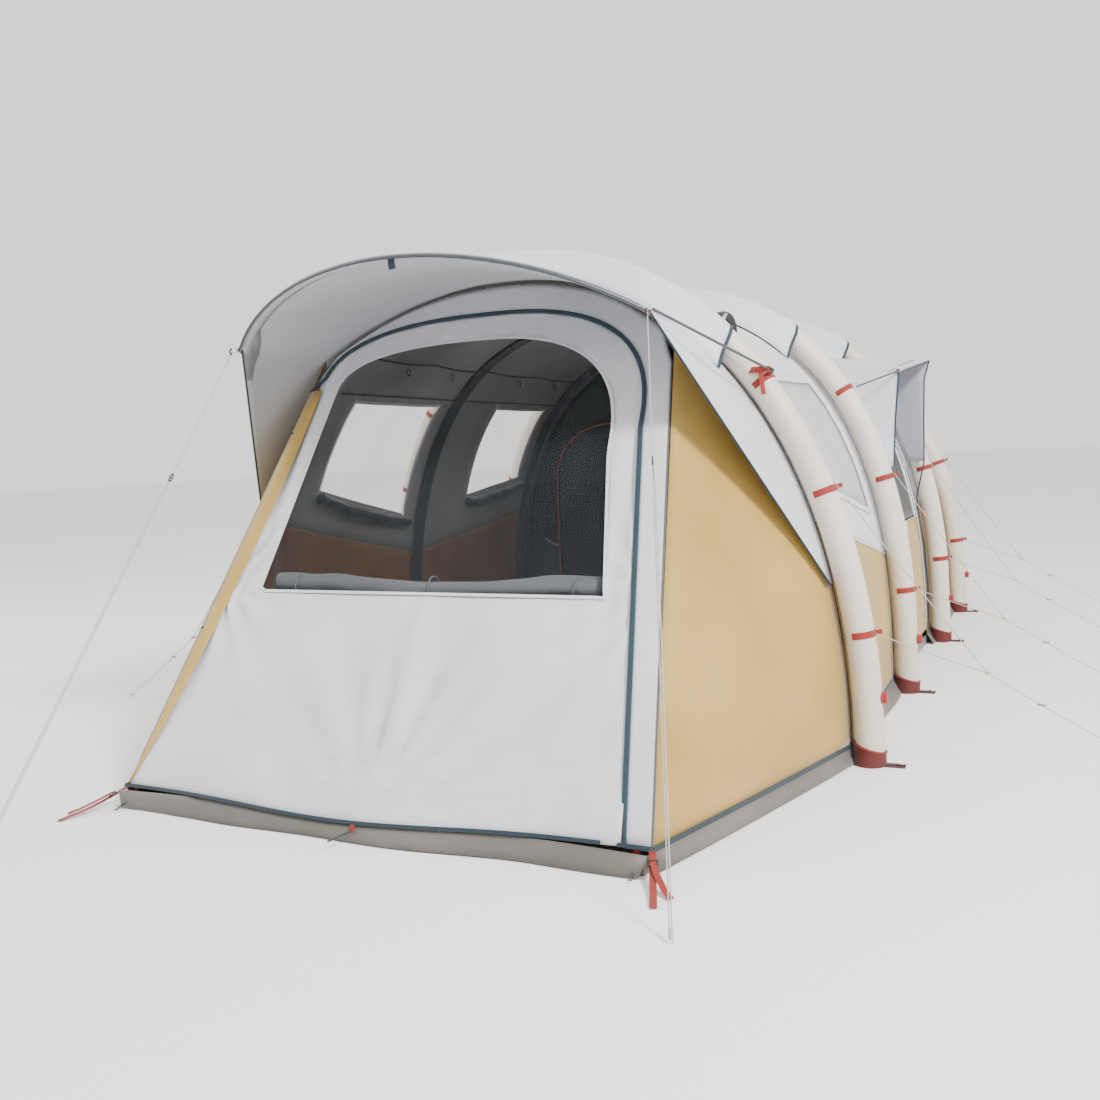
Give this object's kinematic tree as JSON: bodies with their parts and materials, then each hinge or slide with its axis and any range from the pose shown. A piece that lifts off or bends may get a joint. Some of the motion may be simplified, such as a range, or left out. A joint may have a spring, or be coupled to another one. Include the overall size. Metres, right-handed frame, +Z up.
{
  "type": "tunnel tent",
  "caption": "Family tunnel tent on air-filled arches, with a hooded front door and window, a side door under a dormer awning, a groundsheet and dark bedrooms.",
  "frame": {"origin": "on the ground under the middle of the tent, measured without the guy lines", "axes": "+X to the right seen from the front door, +Y from the front door to the rear, +Z up"},
  "size_m": [5.122, 6.6886, 2.153],
  "materials": {
    "air_tube": "woven sleeve over an air bladder, satin",
    "foot_cap_red": "heavy woven polyester",
    "valve_red": "moulded, satin",
    "pole_grey": "glass-fibre rod, satin",
    "awning_pole_grey": "glass-fibre rod, satin",
    "groundsheet_grey": "coated woven sheet",
    "beige_fabric": "plain woven polyester, matt",
    "beige_front": "plain woven polyester, matt",
    "beige_rear": "plain woven polyester, matt",
    "white_roof": "coated woven polyester",
    "white_hood": "coated woven polyester",
    "white_front": "coated woven polyester",
    "white_side": "coated woven polyester",
    "clear_film": "clear flexible film",
    "side_window_white": "film backed by a closed white curtain",
    "curtain_grey": "rolled woven curtain",
    "dark_mesh": "fine mesh",
    "vent_grey": "woven hood over mesh",
    "black_fabric": "light-blocking woven fabric",
    "guy_cord": "braided cord"
  },
  "bodies": {
    "tent": {"air_arch_1": "air_tube", "air_arch_2": "air_tube", "air_arch_3": "air_tube", "air_arch_4": "air_tube", "foot_cap_right_1": "foot_cap_red", "foot_cap_right_2": "foot_cap_red", "foot_cap_right_3": "foot_cap_red", "foot_cap_right_4": "foot_cap_red", "foot_cap_left_1": "foot_cap_red", "foot_cap_left_2": "foot_cap_red", "foot_cap_left_3": "foot_cap_red", "foot_cap_left_4": "foot_cap_red", "hood_pole": "pole_grey", "hood_strut_right": "pole_grey", "hood_strut_left": "pole_grey", "awning_pole": "awning_pole_grey", "awning_strut": "awning_pole_grey", "groundsheet": "groundsheet_grey", "side_wall_right_1": "beige_fabric", "side_wall_right_2": "beige_fabric", "side_wall_right_3": "beige_fabric", "side_wall_left_1": "beige_fabric", "side_wall_left_2": "beige_fabric", "side_wall_left_3": "beige_fabric", "front_side_panel_right": "beige_front", "front_side_panel_left": "beige_front", "rear_canopy": "beige_rear", "roof_1": "white_roof", "roof_2": "white_roof", "roof_3": "white_roof", "rear_wall": "white_roof", "hood_canopy": "white_hood", "front_surround": "white_front", "side_awning": "white_side", "side_window_left_2": "clear_film", "side_window_right_1": "side_window_white", "side_window_left_1": "side_window_white", "bedroom_front": "black_fabric", "bedroom_lining": "black_fabric", "bedroom_divider": "black_fabric", "side_guy_right_1": "guy_cord", "side_guy_right_2": "guy_cord", "side_guy_right_3": "guy_cord", "side_guy_right_4": "guy_cord", "side_guy_left_1": "guy_cord", "front_guy_right": "guy_cord", "front_guy_left": "guy_cord"},
    "front_door": {"front_door": "white_front", "front_window": "clear_film", "front_curtain": "curtain_grey"},
    "side_door": {"side_door": "white_side", "side_door_window": "dark_mesh"},
    "bedroom_door_right": {"bedroom_door_right": "black_fabric"},
    "bedroom_door_left": {"bedroom_door_left": "black_fabric"},
    "roof_vent_1": {"roof_vent_1": "vent_grey"},
    "roof_vent_2": {"roof_vent_2": "vent_grey"},
    "valve_cap_1": {"valve_cap_1": "valve_red"},
    "valve_cap_2": {"valve_cap_2": "valve_red"},
    "valve_cap_3": {"valve_cap_3": "valve_red"},
    "valve_cap_4": {"valve_cap_4": "valve_red"}
  },
  "joints": [
    {"name": "front_door_swing", "type": "hinge", "parent": "tent", "child": "front_door", "pos_m": [-1.069, -3.1071, 0.065], "axis": [-0.1201, -0.5469, -0.8286], "range_deg": [0, 12]},
    {"name": "side_door_swing", "type": "hinge", "parent": "tent", "child": "side_door", "pos_m": [1.44627, 0.88, 0.1], "axis": [0, 0, 1], "range_deg": [0, 95]},
    {"name": "bedroom_door_right_swing", "type": "hinge", "parent": "tent", "child": "bedroom_door_right", "pos_m": [1.12, 1.08, 0.14], "axis": [0, 0, 1], "range_deg": [0, 84]},
    {"name": "bedroom_door_left_swing", "type": "hinge", "parent": "tent", "child": "bedroom_door_left", "pos_m": [-1.12, 1.08, 0.14], "axis": [0, 0, -1], "range_deg": [0, 84]},
    {"name": "roof_vent_1_lift", "type": "hinge", "parent": "tent", "child": "roof_vent_1", "pos_m": [0.56679, -1.28, 1.93], "axis": [0, -1, 0], "range_deg": [0, 20]},
    {"name": "roof_vent_2_lift", "type": "hinge", "parent": "tent", "child": "roof_vent_2", "pos_m": [0.62404, 0.05, 1.93], "axis": [0, -1, 0], "range_deg": [0, 20]},
    {"name": "valve_cap_1_flip", "type": "hinge", "parent": "tent", "child": "valve_cap_1", "pos_m": [1.57081, -1.78, 0.291], "axis": [0, -1, 0], "range_deg": [0, 110]},
    {"name": "valve_cap_2_flip", "type": "hinge", "parent": "tent", "child": "valve_cap_2", "pos_m": [1.55556, -0.45, 0.291], "axis": [0, -1, 0], "range_deg": [0, 110]},
    {"name": "valve_cap_3_flip", "type": "hinge", "parent": "tent", "child": "valve_cap_3", "pos_m": [1.58084, 1.03, 0.291], "axis": [0, -1, 0], "range_deg": [0, 110]},
    {"name": "valve_cap_4_flip", "type": "hinge", "parent": "tent", "child": "valve_cap_4", "pos_m": [1.58356, 2.26, 0.291], "axis": [0, -1, 0], "range_deg": [0, 110]}
  ]
}
